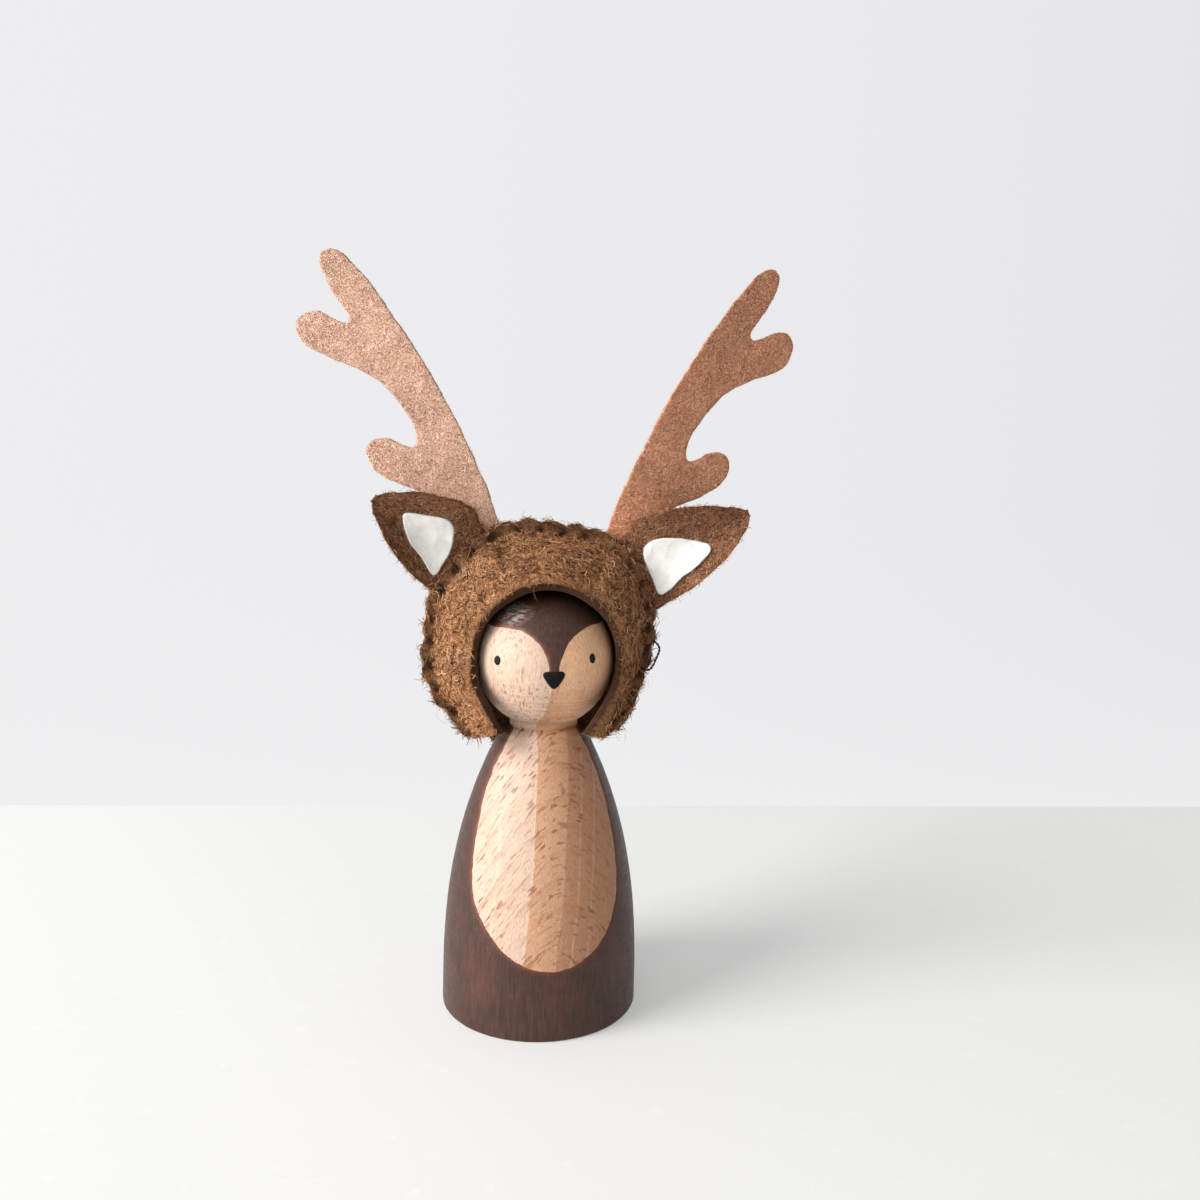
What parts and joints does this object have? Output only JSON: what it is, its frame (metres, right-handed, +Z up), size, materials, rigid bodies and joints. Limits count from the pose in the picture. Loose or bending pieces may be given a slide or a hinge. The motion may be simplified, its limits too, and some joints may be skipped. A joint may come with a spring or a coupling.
{
  "type": "peg doll",
  "caption": "Turned wooden peg doll with a painted bare-bellied body and a lift-off sewn felt deer hood with lined ears and felt antlers.",
  "frame": {"origin": "centre of the base, on the surface the doll stands on", "axes": "+Z up through the head, -Y out of the face, +X to the right as seen from the front"},
  "size_m": [0.0956, 0.0374, 0.1421],
  "materials": {
    "beech": "sanded, unvarnished",
    "brown_paint": "thin brushed coat, satin",
    "black_paint": "glossy dab",
    "brown_felt": "fuzzy wool felt",
    "white_felt": "smooth wool felt",
    "tan_felt": "smooth wool felt",
    "thread": "twisted cotton"
  },
  "bodies": {
    "doll": {"wooden_doll": "beech", "body_paint": "brown_paint", "head_paint": "brown_paint", "left_eye": "black_paint", "right_eye": "black_paint", "nose": "black_paint"},
    "hood": {"hood_front": "brown_felt", "hood_back": "brown_felt", "top_stitches": "thread", "left_stitches": "thread", "right_stitches": "thread", "left_ear_tacks": "thread", "right_ear_tacks": "thread", "slack_loop": "thread"},
    "left_ear_flap": {"left_ear": "brown_felt", "left_ear_lining": "white_felt"},
    "right_ear_flap": {"right_ear": "brown_felt", "right_ear_lining": "white_felt"},
    "left_antler_blade": {"left_antler": "tan_felt"},
    "right_antler_blade": {"right_antler": "tan_felt"}
  },
  "joints": [
    {"name": "hood_lift", "type": "slide", "parent": "doll", "child": "hood", "axis": [0, 0, 1], "range_m": [0, 0.04]},
    {"name": "left_ear_flex", "type": "hinge", "parent": "hood", "child": "left_ear_flap", "pos_m": [-0.01655, 0.00135, 0.0847], "axis": [0.6157, 0, 0.788], "range_deg": [0, 20], "stiffness_Nm_per_rad": 0.004},
    {"name": "right_ear_flex", "type": "hinge", "parent": "hood", "child": "right_ear_flap", "pos_m": [0.018, 0.00135, 0.08259], "axis": [0.515, 0, -0.8572], "range_deg": [0, 20], "stiffness_Nm_per_rad": 0.004},
    {"name": "left_antler_flex", "type": "hinge", "parent": "hood", "child": "left_antler_blade", "pos_m": [-0.01113, 0.00265, 0.08958], "axis": [-0.848, 0, -0.5299], "range_deg": [0, 25], "stiffness_Nm_per_rad": 0.004},
    {"name": "right_antler_flex", "type": "hinge", "parent": "hood", "child": "right_antler_blade", "pos_m": [0.01378, 0.00265, 0.08762], "axis": [-0.7547, 0, 0.6561], "range_deg": [0, 25], "stiffness_Nm_per_rad": 0.004}
  ]
}
